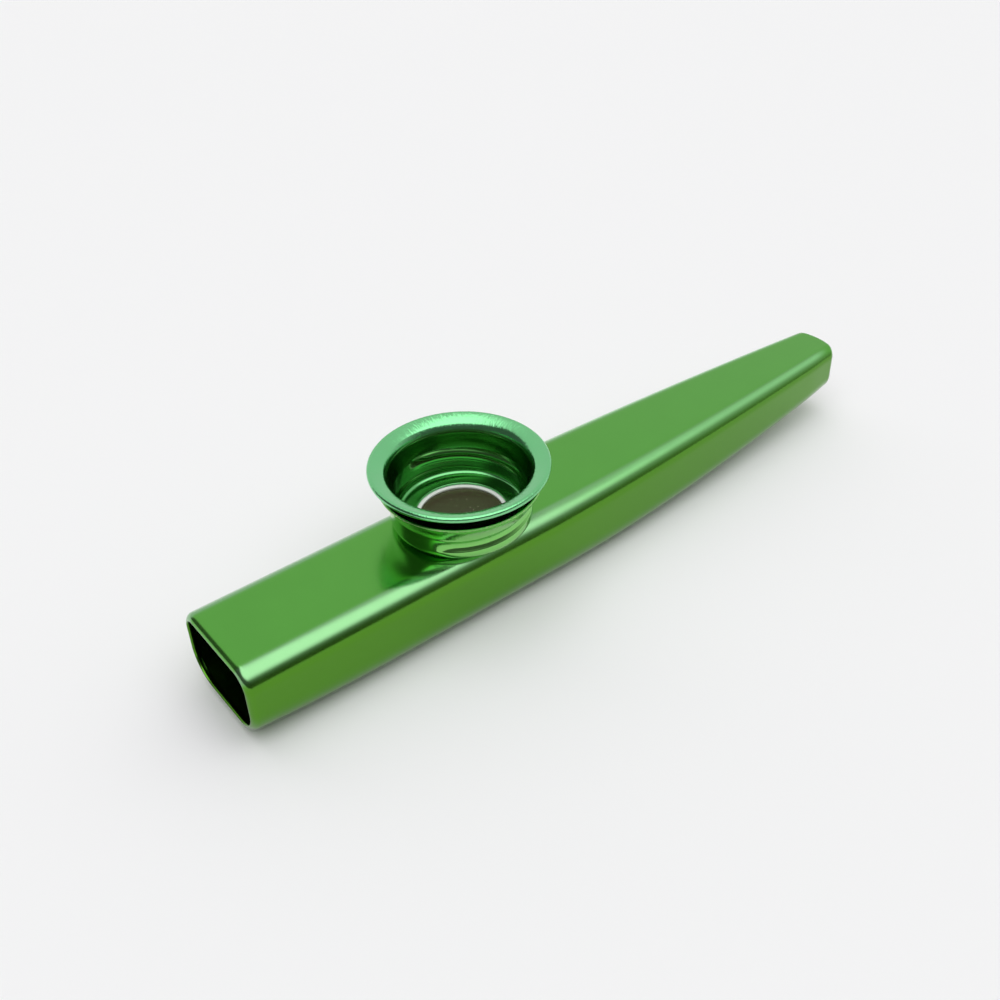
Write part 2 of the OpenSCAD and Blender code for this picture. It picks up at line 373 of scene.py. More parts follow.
def put_piece(name, points, face_groups, attributes=None):
    """Makes a closed, smooth-shaded piece of these points and groups of faces."""
    mesh = bpy.data.meshes.new(name)
    faces = [face for group in face_groups for face in group.tolist()]
    mesh.from_pydata(points.reshape(-1, 3).tolist(), [], faces)
    for key, values in (attributes or {}).items():
        values = np.asarray(values, np.float32)
        many = values.ndim == 2
        kind, field = ("FLOAT_VECTOR", "vector") if many else ("FLOAT", "value")
        mesh.attributes.new(key, kind, "POINT").data.foreach_set(field, values.ravel())
    mesh.polygons.foreach_set("use_smooth", np.ones(len(mesh.polygons), bool))
    mesh.update()
    mesh.validate()
    piece = bpy.data.objects.new(name, mesh)
    bpy.context.scene.collection.objects.link(piece)
    turn_outwards(piece)
    return piece


def turn_outwards(piece):
    """Makes all faces of a closed shell point out of its sheet."""
    work = bmesh.new()
    work.from_mesh(piece.data)
    bmesh.ops.recalc_face_normals(work, faces=work.faces)
    if work.calc_volume(signed=True) < 0:
        bmesh.ops.reverse_faces(work, faces=work.faces)
    work.to_mesh(piece.data)
    work.free()


# The tube


def tube_columns():
    """Round the tube: each column's corner, angle there, and way on to the next."""
    corner, angle, share = [], [], []
    for k, flat in enumerate(FLAT_STEPS):
        corner += [k] * (ARC_STEPS + flat)
        angle += list(np.linspace(90 * k, 90 * (k + 1), ARC_STEPS + 1)[:-1])
        angle += [90 * (k + 1)] * flat
        share += [0.0] * ARC_STEPS + list(np.arange(flat) / flat)
    return np.array(corner), np.radians(angle), np.array(share)


def tube_rings(size, s, depth, columns):
    """Rounded rectangles across the tube at the distances s from the wide end.

    The half width falls with the power 1.5 of the way along the drawn-in part. The
    floor rises with the square of the way into the heel, and with the power 1.7 of the
    way along the belly. An arc goes round each corner's centre, so the wall is even.
    Near the mouthpiece the sides stay behind the middle by a share that grows with the
    square of the distance from the middle.
    """
    corner, angle, share = columns
    s, depth = s[:, None], depth[:, None]
    drawn = np.clip((s - size.draw_from) / (size.length - size.draw_from), 0, 1)
    half = blend(size.width, size.tail_width, drawn**DRAW_POWER) / 2
    heel = np.clip((size.heel - s) / size.heel, 0, 1)
    belly = np.clip((s - size.belly_from) / (size.length - size.belly_from), 0, 1)
    floor = (size.height - size.wide_height) * heel**2
    floor = floor + (size.height - size.tail_height) * belly**BELLY_POWER
    low = blend(size.low_edge, size.tail_low, drawn)
    high = blend(size.top_edge, size.tail_top, drawn)
    centre_y = np.hstack((half - high, high - half, low - half, half - low))
    top_z, low_z = size.height - high, floor + low
    centre_z = np.hstack((top_z, top_z, low_z, low_z))
    radius = np.hstack((high, high, low, low)) - depth

    def on_arc(k):
        """Where the arcs of these corners are, at each column's angle."""
        y = centre_y[:, k] + radius[:, k] * np.cos(angle)
        return y, centre_z[:, k] + radius[:, k] * np.sin(angle)

    (y1, z1), (y2, z2) = on_arc(corner), on_arc((corner + 1) % len(FLAT_STEPS))
    y = blend(y1, y2, share)
    bow = size.bow * change(s, size.length - size.bow_length, size.bow_length)
    x = s - size.length / 2 - bow * (y / half) ** 2
    return np.stack((x, y, blend(z1, z2, share)), -1)


def lip_stations(radius, turn, inner, angles):
    """Distance from the end, and depth under the outer face, round a rolled-in end."""
    away = radius * math.sin(turn) - inner * np.sin(angles)
    return np.column_stack((away, radius - inner * np.cos(angles)))


def cut_stations(radius, turn, wall):
    """Stations across the cut edge of a rolled-in end, a little rounded."""
    share = np.array([0.1, 0.3, 0.5, 0.7, 0.9])
    bulge = 0.16 * wall / radius * np.sin(math.pi * share)
    return lip_stations(radius, turn, radius - share * wall, turn + bulge)


def tube_stations(size):
    """Stations along the outer and the inner face, and across both cut edges."""
    lip_length = size.lip * math.sin(size.lip_turn)
    tail_length = size.tail_lip * math.sin(size.tail_turn)
    bow_from, tail_from = size.length - size.bow_length, size.length - tail_length
    knots = (lip_length, size.heel, size.draw_from, bow_from, tail_from)
    spans = zip(knots, knots[1:], LENGTH_POINTS)
    even = [np.linspace(start, end, count)[:-1] for start, end, count in spans]
    even = np.concatenate((*even, knots[-1:]))

    def from_far_end(stations):
        return np.column_stack((size.length - stations[:, 0], stations[:, 1]))

    def rolled(radius, turn, depth, steps):
        shares = 1 - np.arange(steps) / steps
        return lip_stations(radius, turn, radius - depth, turn * shares)

    def face(depth):
        wide = rolled(size.lip, size.lip_turn, depth, LIP_STEPS)
        tail = from_far_end(rolled(size.tail_lip, size.tail_turn, depth, TAIL_STEPS))
        middle = np.column_stack((even, np.full(len(even), depth)))
        return np.vstack((wide, middle, tail[::-1]))

    wide_cut = cut_stations(size.lip, size.lip_turn, size.wall)[::-1]
    tail_cut = from_far_end(cut_stations(size.tail_lip, size.tail_turn, size.wall))
    return face(0.0), face(size.wall), wide_cut, tail_cut


def painted_tube_light(size, s, angle):
    """Shares of painted shade and highlights, from tilt and place along the tube."""
    tilt = np.degrees(np.arccos(np.sin(angle)))
    # Painted highlight: a paler tone on the upper bends, where the highlight band runs
    bend = change(tilt, *BEND_FROM) * (1 - change(tilt, *BEND_TO))
    # Towards the mouthpiece a paler painted highlight on a narrower band of the bends
    # takes over, the wider one fades to half, and both stop just short of the end
    along = s[:, None] / size.length
    far, end = change(along, *FAR_FROM), 1 - change(along, *FAR_TO)
    tip = far * end * change(tilt, *TIP_FROM) * (1 - change(tilt, *TIP_TO))
    return {
        # Painted shade: a darker, more olive tone on the sides
        "side": change(tilt, *SIDE_FROM),
        # Painted highlight: a paler tone on the upper bends
        "bend": (1 - 0.5 * far) * end * bend,
        "tip": tip,
    }


def hole_patch(grid, rows, cols, centre, radius):
    """Fills the window rows x cols of a grid with spokes from its edge to a round hole.

    Each point on the window's edge is joined to the point of the circle in the same
    direction. Returns the edge's places in the grid, and the spokes' points from there
    to the hole.
    """
    down, across = np.arange(*rows), np.arange(*cols)
    index = np.concatenate(
        (
            grid_places(rows[0], across),
            grid_places(down, cols[1]),
            grid_places(rows[1], across[::-1] + 1),
            grid_places(down[::-1] + 1, cols[0]),
        )
    )
    outer = grid[index[:, 0], index[:, 1]]
    away = outer - centre
    away[:, 2] = 0
    circle = centre + radius * away / np.linalg.norm(away, axis=1)[:, None]
    circle[:, 2] = centre[2]
    t = np.arange(1, SPOKE_STEPS + 1)[:, None, None] / SPOKE_STEPS
    return index, blend(outer[None], circle[None], t)


def make_tube(scene):
    """The tube: rings along both faces of its wall, and a round hole in its top."""
    size, cup = scene.kazoo_tube, scene.kazoo_cup
    columns = tube_columns()
    outer, inner, wide_cut, tail_cut = tube_stations(size)
    stations = np.vstack((outer, tail_cut, inner[::-1], wide_cut))
    grid = tube_rings(size, stations[:, 0], stations[:, 1], columns)
    rings, around = grid.shape[:2]
    # Painted shade on the sides and painted highlights on the bends, as shares of their
    # tones
    shares = painted_tube_light(size, stations[:, 0], columns[1])
    # The cut is bare at the mouthpiece. At the wide end it shows bare on the top and on
    # the near side, most of all on its outer edge.
    clear = smooth_step(np.sin(columns[1]) - 0.6 * np.cos(columns[1]) + 0.3)
    bare = shares["bare"] = np.zeros((rings, around))
    bare[len(outer) : len(outer) + len(tail_cut)] = TAIL_BARE
    bare[-len(wide_cut) : -1] = WIDE_BARE * clear
    bare[-1] = clear

    # The window round the hole, on the outer face and at the same places on the inner
    reach = cup.bore + cup.sheet + cup.gap
    first, last = np.searchsorted(
        outer[:, 0],
        (cup.from_end - reach - WINDOW_MARGIN, cup.from_end + reach + WINDOW_MARGIN),
    ) - (1, 0)
    left = ARC_STEPS - WINDOW_COLUMNS
    right = ARC_STEPS + FLAT_STEPS[0] + WINDOW_COLUMNS
    inner_first = len(outer) + len(tail_cut) + len(inner) - 1 - last
    windows = [(start, start + last - first) for start in (first, inner_first)]
    faces = ring_faces(rings, around)
    row, column = np.divmod(faces[:, 0], around)
    cut = sum((row >= start) & (row < end) for start, end in windows)
    faces = faces[~((cut > 0) & (column >= left) & (column < right))]

    points, groups, holes = grid.reshape(-1, 3), [faces], []
    for window, z in zip(windows, (size.height, size.height - size.wall)):
        centre = np.array((cup.from_end - size.length / 2, 0, z))
        index, spokes = hole_patch(grid, window, (left, right), centre, reach)
        numbers = len(points) + np.arange(spokes[..., 0].size)
        numbers = numbers.reshape(spokes.shape[:2])
        numbers = np.vstack((index[:, 0] * around + index[:, 1], numbers))
        a, b = numbers[:-1], numbers[1:]
        quads = np.stack((a, np.roll(a, -1, 1), np.roll(b, -1, 1), b), -1)
        groups.append(quads.reshape(-1, 4))
        points = np.vstack((points, spokes.reshape(-1, 3)))
        holes.append(numbers[-1])
    # The hole's wall joins each point of the upper circle to the one below it
    turns = (np.arctan2(points[h, 1], points[h, 0] - centre[0]) for h in holes)
    top, below = (hole[np.argsort(turn)] for hole, turn in zip(holes, turns))
    groups.append(np.stack((top, below, np.roll(below, -1), np.roll(top, -1)), -1))

    plain = np.zeros(len(points) - rings * around)
    attributes = {
        key: np.concatenate((np.broadcast_to(share, (rings, around)).ravel(), plain))
        for key, share in shares.items()
    }
    piece = put_piece("tube", points, groups, attributes)
    piece.data.materials.append(tube_metal(scene))
    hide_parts("body")
    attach(piece, "root")
    return piece


# The cup and the cap


def round_turn(steps):
    """Even angles once round."""
    return np.arange(steps) * 2 * math.pi / steps


def turned_points(scene, radius, height, turn):
    """Points (radius cos turn, radius sin turn) round the cup's axis.

    The height is counted from the top of the tube.
    """
    tube, cup = scene.kazoo_tube, scene.kazoo_cup
    x = cup.from_end - tube.length / 2 + radius * np.cos(turn)
    y = radius * np.sin(turn)
    return np.stack(np.broadcast_arrays(x, y, tube.height + height), -1)


def thread_turn(cup, turn, z):
    """How far round the groove, in radians, its middle is nearest to each point."""
    ahead = turn - cup.groove_start
    rounds = np.round((z - cup.groove_z) / cup.pitch - ahead / (2 * math.pi))
    return ahead + 2 * math.pi * rounds


def groove_share(cup, turn, z):
    """Share of the groove's depth: 1 - x^2 across its width, its corners rounded."""
    middle = cup.groove_z + cup.pitch * thread_turn(cup, turn, z) / (2 * math.pi)
    flat = 1 - ((z - middle) / (cup.groove_width / 2)) ** 2
    return (flat + np.sqrt(flat * flat + GROOVE_ROUNDING)) / 2


def cup_groove(cup, turn, z):
    """Depth of the cup's groove, which fades in at its start and out in the flare."""
    start = change(thread_turn(cup, turn, z), 0, GROOVE_FADE)
    top = 1 - change(z, cup.wall_top, FLARE_FADE)
    return cup.groove * groove_share(cup, turn, z) * start * top


def cap_groove(cup, cap, foot, turn, z):
    """Depth of the cap's groove, which fades in up the foot of the wall.

    Past its end it fades out again. The solid's wall is as narrow as the groove all
    round its foot, and so stays clear of the cup's thread, which this one doesn't.
    """
    end = change(thread_turn(cup, turn, z), cap.groove_end, GROOVE_FADE)
    share = groove_share(cup, turn, z) * (1 - end)
    rise = change(z, foot, FOOT_FADE) * change(z, foot - cap.corner / 2, cap.corner)
    return cup.groove * share * rise


def turned_sheet(name, scene, front, back, depth, ridge, shares):
    """A closed turned sheet. Both faces are profiles [radius, height], point by point.

    A point at angle a lies at (r - depth) (cos a, sin a), where the depth comes from
    the thread, and on the front also from the ridge. The shares are given for each
    point of the front: bare for bare metal, drawn for drawing streaks, and a share of
    painted shade inside the cap, which only the front has. The attribute streak runs
    round the piece and only slowly along its profile, so a fine pattern read from it is
    drawn out into streaks along the profile.
    """
    profile = np.vstack((front, back[::-1]))
    steps = round_turn(SHEET_STEPS)
    turn, height = np.meshgrid(steps, there_and_back(front[:, 1]))
    radius = profile[:, :1] - depth(turn, height, profile[:, :1])
    radius[: len(front)] -= ridge[:, None]
    run = there_and_back(along_path(front))[:, None]
    across = STREAK_RADIUS * np.cos(turn), STREAK_RADIUS * np.sin(turn)
    streak = np.stack(np.broadcast_arrays(*across, STREAK_PACE * run), -1)
    bare, drawn, deep = shares
    attributes = {
        "bare": np.repeat(there_and_back(bare), SHEET_STEPS),
        "drawn": np.repeat(there_and_back(drawn), SHEET_STEPS),
        "deep": np.repeat(np.concatenate((deep, 0 * deep)), SHEET_STEPS),
        "streak": streak.reshape(-1, 3),
    }
    points = turned_points(scene, radius, profile[:, 1:], turn)
    return put_piece(name, points, [ring_faces(len(profile), SHEET_STEPS)], attributes)


def make_cup(scene):
    """The cup: turned-over neck, rounded foot, threaded wall and flared edge."""
    tube, cup = scene.kazoo_tube, scene.kazoo_cup
    neck = cup.bore + cup.sheet
    under = -tube.wall - cup.clinch_gap
    fold = 0.12 * MM
    wall_from = cup.radius - cup.foot
    flare = between((cup.radius, cup.wall_top), (cup.edge, cup.height))
    path = np.vstack(
        (
            [[neck + cup.gap + cup.clinch, under], [neck + fold, under]],
            arc((neck + fold, under + fold), fold, -90, -180, 3, False),
            line((neck, under + fold), (neck, 0), 3),
            line((neck, 0), (wall_from, 0), 4),
            arc((wall_from, cup.foot), cup.foot, -90, 0, 14, False),
            line((cup.radius, cup.foot), (cup.radius, cup.wall_top), 34),
            curve(flare(0, 0), flare(0.3, 0.6), flare(1, 1), 30),
        )
    )

    def depth(turn, z, radius):
        return cup_groove(cup, turn, z) * (radius > wall_from)

    none = np.zeros(len(path))
    bare = none.copy()
    bare[-1] = FLARE_BARE
    drawn = 0.1 + 0.5 * change(path[:, 1], cup.wall_top, MM)
    back = other_face(path, cup.sheet)
    shares = (bare, drawn, none)
    piece = turned_sheet("cup_wall", scene, path, back, depth, none, shares)
    piece.data.materials.append(cup_metal(scene))
    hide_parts("cup")
    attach(piece, "root")
    return piece


def make_cap(scene):
    """The cap: flat floor with a hole, round corner, threaded wall, throat, bell mouth.

    The bell mouth rises steeply from the throat, flattens out, and ends in a curled
    rim.
    """
    cup, cap, film = scene.kazoo_cup, scene.kazoo_cap, scene.kazoo_membrane
    floor = 2 * cup.sheet + 2 * film.seat + film.film + film.thickness
    foot = floor + cap.corner
    wall_r = cup.radius - 2 * cup.sheet - cup.thread_gap
    corner_r = wall_r - cap.corner
    throat = (cap.throat, cap.throat_z)
    curl = arc((cap.rim - cap.curl, cap.rim_z - cap.curl), cap.curl, 105, -60, 14)
    shoulder = between((wall_r, cap.wall_top), throat)
    bell = between(throat, (curl[0, 0], cap.rim_z))
    turn_out = bell(0.2, 0.53)
    hole = [[cap.hole + away * MM, floor] for away in (0, 0.1, 0.5)]
    path = np.vstack(
        (
            hole,
            line(hole[-1], (corner_r, floor), 6),
            arc((corner_r, foot), cap.corner, -90, 0, 12, False),
            line((wall_r, foot), (wall_r, cap.wall_top), 50),
            curve(shoulder(0, 0), shoulder(0.7, 0.4), throat, 22),
            curve(throat, bell(0.06, 0.29), turn_out, 14),
            long_curve(turn_out, bell(0.29, 0.69), bell(0.73, 0.905), curl[0], 26),
            curl[1:],
        )
    )
    run, z = along_path(path), path[:, 1]
    run = run - run[np.argmin(np.abs(path - throat).sum(1))]
    # The small ridge that the tool left where the bell mouth starts, and the groove
    # just before it
    ridge = 0.05 * MM * hump(run, 0.09 * MM)
    ridge -= 0.05 * MM * hump(run + 0.3 * MM, 0.12 * MM)

    def depth(turn, z, radius):
        return cap_groove(cup, cap, foot, turn, z)

    bare = np.zeros(len(path))
    bare[0], bare[-1] = HOLE_BARE, RIM_BARE
    above = change(z, cap.throat_z, 0.5 * MM)
    # Painted shade inside the cap below the throat: strongest on the wall, half on the
    # floor
    on_wall = change(z, floor + 0.2 * cap.corner, 0.8 * cap.corner)
    shares = (bare, 0.1 + 0.9 * above, (1 - above) * (0.5 + 0.5 * on_wall))
    back = other_face(path, -cup.sheet)
    piece = turned_sheet("cap_bell", scene, path, back, depth, ridge, shares)
    piece.data.materials.append(cap_metal(scene))
    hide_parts("cap")
    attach(piece, "cap")
    return piece


# The membrane


def make_ring(scene):
    """The white ring: a flat washer with rounded edges and two fine turned lines."""
    cup, film = scene.kazoo_cup, scene.kazoo_membrane
    outer = cup.radius - cup.foot - film.play
    low = cup.sheet + film.seat + film.film
    high = low + film.thickness
    edge = 0.05 * MM
    from_r, to_r = film.ring + edge, outer - edge
    top_r = np.linspace(to_r, from_r, 80)
    lines = sum(
        0.02 * MM * hump(top_r - film.ring - away * MM, 0.035 * MM)
        for away in (0.17, 0.36)
    )
    profile = np.vstack(
        (
            line((from_r, low), (to_r, low), 6),
            arc((to_r, low + edge), edge, -90, 0, 4, False),
            arc((to_r, high - edge), edge, 0, 90, 4),
            np.column_stack((top_r, high - lines))[1:],
            arc((from_r, high - edge), edge, 90, 180, 4, False),
            arc((from_r, low + edge), edge, 180, 270, 4)[:-1],
        )
    )
    turn = round_turn(RING_STEPS)
    points = turned_points(scene, profile[:, :1], profile[:, 1:], turn)
    return put_piece("white_ring", points, [ring_faces(len(profile), RING_STEPS)])


def make_film(scene):
    """The film: a thin round sheet, as rings round a middle point on both faces."""
    cup, film = scene.kazoo_cup, scene.kazoo_membrane
    outer = cup.radius - cup.foot - film.play
    low = cup.sheet + film.seat
    high = low + film.film
    turn = round_turn(FILM_STEPS)
    r = np.linspace(outer, outer / FILM_RINGS, FILM_RINGS)[:, None]
    bottom, top = (turned_points(scene, r, z, turn) for z in (low, high))
    grid = np.concatenate((bottom[::-1], top)).reshape(-1, 3)
    poles = turned_points(scene, 0.0, np.array((low, high)), 0.0)
    # The grid stays open between its last ring and its first: the poles close it there
    last = len(grid) - FILM_STEPS
    faces = ring_faces(2 * FILM_RINGS, FILM_STEPS)
    faces = faces[faces[:, 0] < last]
    j = np.arange(FILM_STEPS)
    k = np.roll(j, -1)
    fans = [(0 * j + len(grid), j, k), (0 * j + len(grid) + 1, last + k, last + j)]
    fans = np.array(fans).transpose(2, 0, 1).reshape(-1, 3)
    return put_piece("film", np.vstack((grid, poles)), [faces, fans])


# Finishes


def per_mm(millimetres):
    """Scale of a pattern on coordinates in metres whose features are this size."""
    return 1.0 / (millimetres * MM)


def add_node(material, kind, settings=None, inputs=None):
    """Adds a node to a material or world.

    Settings are its own fields. An input is a value, or another node's (node, output).
    """
    node = material.node_tree.nodes.new(kind)
    for key, value in (settings or {}).items():
        setattr(node, key, value)
    for key, value in (inputs or {}).items():
        pair = isinstance(value, tuple) and len(value) == 2
        if pair and hasattr(value[0], "outputs"):
            material.node_tree.links.new(value[0].outputs[value[1]], node.inputs[key])
        else:
            node.inputs[key].default_value = value
    return node


def noise(material, place, millimetres, detail):
    """A cloudy pattern with features of about this size."""
    inputs = {"Vector": place, "Scale": per_mm(millimetres), "Detail": detail}
    return add_node(material, "ShaderNodeTexNoise", inputs=inputs), "Fac"


def attribute(material, name, output="Fac"):
    """What the piece carries in the attribute of this name."""
    return add_node(material, "ShaderNodeAttribute", {"attribute_name": name}), output


def maths(material, operation, *values, **settings):
    """The result of an operation on values."""
    settings["operation"] = operation
    return add_node(material, "ShaderNodeMath", settings, dict(enumerate(values))), 0


def mixed(material, share, low, high):
    """The blend of two colours."""
    inputs = {"Factor": share, 6: low, 7: high}
    return add_node(material, "ShaderNodeMix", {"data_type": "RGBA"}, inputs), 2


def ranged(material, value, start, end, low, high):
    """The value, brought from the range start to end into the range low to high."""
    names = ("Value", "From Min", "From Max", "To Min", "To Max")
    inputs = dict(zip(names, (value, start, end, low, high)))
    return add_node(material, "ShaderNodeMapRange", inputs=inputs), 0


def bumped(material, height, millimetres, **others):
    """A bump of this depth."""
    inputs = {"Height": height, "Distance": millimetres * MM, "Strength": 1.0, **others}
    return add_node(material, "ShaderNodeBump", inputs=inputs), 0


def shade(c, factor=1.0):
    """The colour made lighter or darker, with alpha 1."""
    return tuple(min(1.0, v * factor) for v in c) + (1.0,)


def new_material(name):
    """An empty node material."""
    material = bpy.data.materials.new(name)
    material.use_nodes = True
    material.node_tree.nodes.clear()
    return material


def place_in(material):
    """The place on the piece, at which a material's patterns are read."""
    return add_node(material, "ShaderNodeTexCoord"), "Object"


def finished(material, inputs):
    """The material with its surface, which has these inputs."""
    surface = add_node(material, "ShaderNodeBsdfPrincipled", inputs=inputs)
    add_node(material, "ShaderNodeOutputMaterial", inputs={"Surface": (surface, 0)})
    return material


def anodised(name, scene, tint, rough, grain_mm, grain_depth, streaks=False, places=()):
    """Aluminium sheet, pressed and then dyed green by anodising.

    The dye tints the metal's own reflection, and the clear oxide over it gives a thin
    paler gloss, so it is a metal under a clear coat. Rolling leaves a fine grain and
    pressing slow waves in the sheet. Where the sheet was cut, bare metal shows. Places
    are pairs of an attribute and a colour painted where it is 1, as painted shade or
    painted highlights.
    """
    material = new_material(name)
    place = place_in(material)
    # Slow waves of the pressed sheet, about 9 mm across
    waves = noise(material, place, 9, 1.0)
    # Fine grain, drawn a little coarser than the real one so that it shows
    grain = noise(material, place, grain_mm, 3.0)
    # Clouds of slightly weaker and stronger dye, about 4 mm across
    clouds = noise(material, place, 4, 4.0)
    metal = mixed(material, clouds, shade(tint, 0.97), shade(tint, 1.03))
    # Painted shade and painted highlights: each place's colour, laid over the dye where
    # its attribute is 1
    for key, dye in places:
        metal = mixed(material, attribute(material, key), metal, shade(dye))
    # Bare metal on the cut edges, broken up by specks about 0.3 mm across: it shows
    # where 1.3 times its share, less 0.45, and the specks come to more than 0.62 to 0.8
    specks = noise(material, place, 0.3, 2.0)
    worn = maths(material, "MULTIPLY_ADD", attribute(material, "bare"), 1.3, -0.45)
    worn = maths(material, "ADD", worn, specks, use_clamp=True)
    worn = ranged(material, worn, 0.62, 0.8, 0.0, 1.0)
    metal = mixed(material, worn, metal, shade(scene.kazoo_colours.bare))
    # The clouds of dye are also a little smoother and rougher
    gloss = ranged(material, clouds, 0.3, 0.7, rough * 0.85, rough * 1.2)
    bump = bumped(material, waves, 0.015)
    bump = bumped(material, grain, grain_depth, Normal=bump)
    if streaks:
        # Fine drawing streaks that run up the flare or bell mouth, about 0.25 mm apart
        drawn = noise(material, attribute(material, "streak", "Vector"), 0.25, 2.0)
        share = attribute(material, "drawn")
        bump = bumped(material, drawn, 0.05, Normal=bump, Strength=share)
    return finished(
        material,
        {
            "Base Color": metal,
            "Metallic": 1.0,
            "Roughness": gloss,
            "Coat Weight": 0.3,
            "Coat Roughness": 0.12,
            "Normal": bump,
        },
    )


def tube_metal(scene):
    """Satin anodised aluminium: rolled sheet, drawn to a tube.

    Its grain spreads what it reflects into a satin sheen. A darker, more olive tone is
    painted on the sides as shade, and paler tones on the upper bends as highlights.
    """
    dyes = scene.kazoo_colours
    return anodised(
        "satin_anodised_aluminium",
        scene,
        dyes.tube,
        rough=0.2,
        grain_mm=0.25,
        grain_depth=0.0025,
        places=(("side", dyes.side), ("bend", dyes.bend), ("tip", dyes.tip)),
    )


def spun_metal(name, scene, tint, rough, places=()):
    """Bright anodised aluminium: spun from smoother sheet, so it mirrors the room.

    The tool left fine streaks up the flare of the cup and the bell mouth of the cap,
    which break their reflections into a soft fringe.
    """
    return anodised(
        name,
        scene,
        tint,
        rough,
        grain_mm=0.3,
        grain_depth=0.001,
        streaks=True,
        places=places,
    )


def cup_metal(scene):
    """The spun metal of the cup."""
    tint = scene.kazoo_colours.cup
    return spun_metal("bright_anodised_aluminium_cup", scene, tint, 0.14)


def cap_metal(scene):
    """The spun metal of the cap, cooler, with a darker tone painted inside as shade."""
    dyes = scene.kazoo_colours
    places = (("deep", dyes.deep),)
    return spun_metal("bright_anodised_aluminium_cap", scene, dyes.cap, 0.16, places)


def ring_plastic(scene):
    """White polystyrene: stamped from pressed sheet, so matt and faintly uneven."""
    material = new_material("white_polystyrene")
    # Unevenness of the pressed sheet, about 0.4 mm across
    mottle = noise(material, place_in(material), 0.4, 3.0)
    white = scene.kazoo_colours.ring
    tone = mixed(material, mottle, shade(white, 0.9), shade(white))
    bump = bumped(material, mottle, 0.01)
    return finished(material, {"Base Color": tone, "Roughness": 0.5, "Normal": bump})


def film_plastic(scene):
    """Thin plastic film, stretched over the bore.

    It is glossy and faintly wrinkled, with specks of dust. A good third of the dark
    bore shows through it.
    """
    colours = scene.kazoo_colours
    material = new_material("clear_stretched_film")
    place = place_in(material)
    # Slack in the film, about 3 mm across
    slack = noise(material, place, 3, 2.0)
    # Dust: the few cells of a 0.9 mm pattern whose middle is near, as pale specks
    inputs = {"Vector": place, "Scale": per_mm(0.9), "Randomness": 1.0}
    cells = add_node(material, "ShaderNodeTexVoronoi", inputs=inputs)
    specks = ranged(material, (cells, "Distance"), 0.05, 0.09, 1.0, 0.0)
    tone = mixed(material, specks, shade(colours.film), shade(colours.dust))
    bump = bumped(material, slack, 0.02)
    look = {"Base Color": tone, "Roughness": 0.2, "Alpha": 0.62, "Normal": bump}
    return finished(material, look)


def floor_paper(scene):
    """Matt white paper: uncoated, so it spreads light evenly with next to no gloss."""
    material = new_material("matt_white_paper")
    tone = shade(scene.kazoo_colours.floor)
    look = {"Base Color": tone, "Roughness": 0.9, "Specular IOR Level": 0.1}
    return finished(material, look)


# The stage


def make_stage(scene):
    """Pale floor, the soft light of the room and the camera at the photo's angle."""
    floor = bpy.data.meshes.new("floor")
    corners = [(-1, -1), (1, -1), (1, 1), (-1, 1)]
    places = [(x * FLOOR_REACH, y * FLOOR_REACH, 0) for x, y in corners]
    floor.from_pydata(places, [], [(0, 1, 2, 3)])
    ground = bpy.data.objects.new("floor", floor)
    scene.collection.objects.link(ground)
    ground.data.materials.append(floor_paper(scene))
    make_world(scene)
    add_camera(scene)
    scene.view_settings.view_transform = "Standard"


def tilted(azimuth, tilt):
    """The direction at this azimuth in degrees from +X towards +Y, tilted up."""
    a, t = math.radians(azimuth), math.radians(tilt)
    return (math.cos(a) * math.cos(t), math.sin(a) * math.cos(t), math.sin(t))


def make_world(scene):
    """A soft room, as directions on a sphere, so it stays where it is in every view.

    Its far half is pale. Its near side is dark, because the room there is unlit: the
    dark starts sharply on the left and little by little in front. A large soft panel
    hangs overhead. It has a level edge round the room, and two far edges, on the right
    and on the left, which run a little beyond the point straight above. All edges are
    smooth steps of a direction's part along an axis.
    """
    world = bpy.data.worlds.new("soft_room")
    scene.world = world
    world.use_nodes = True
    world.node_tree.nodes.clear()
    direction = (add_node(world, "ShaderNodeTexCoord"), "Generated")

    def edge(turns, start, end):
        """A smooth step from 0 to 1, between two parts along the axis."""
        inputs = {0: direction, 1: tilted(*turns)}
        dot = {"operation": "DOT_PRODUCT"}
        part = add_node(world, "ShaderNodeVectorMath", dot, inputs)
        limits = {"Value": (part, "Value"), "From Min": start, "From Max": end}
        smooth = {"interpolation_type": "SMOOTHSTEP"}
        return add_node(world, "ShaderNodeMapRange", smooth, limits), 0

    unlit = maths(world, "MAXIMUM", edge(*UNLIT_LEFT), edge(*UNLIT_FRONT))
    light = mixed(world, unlit, FAR_LIGHT, NEAR_LIGHT)
    right, level, left = (edge(*limits) for limits in PANEL_EDGES)
    panel = maths(world, "MULTIPLY", maths(world, "MULTIPLY", right, level), left)
    light = mixed(world, panel, light, PANEL_LIGHT)
    inputs = {"Color": light, "Strength": 1.0}
    room = add_node(world, "ShaderNodeBackground", inputs=inputs)
    add_node(world, "ShaderNodeOutputWorld", inputs={"Surface": (room, 0)})


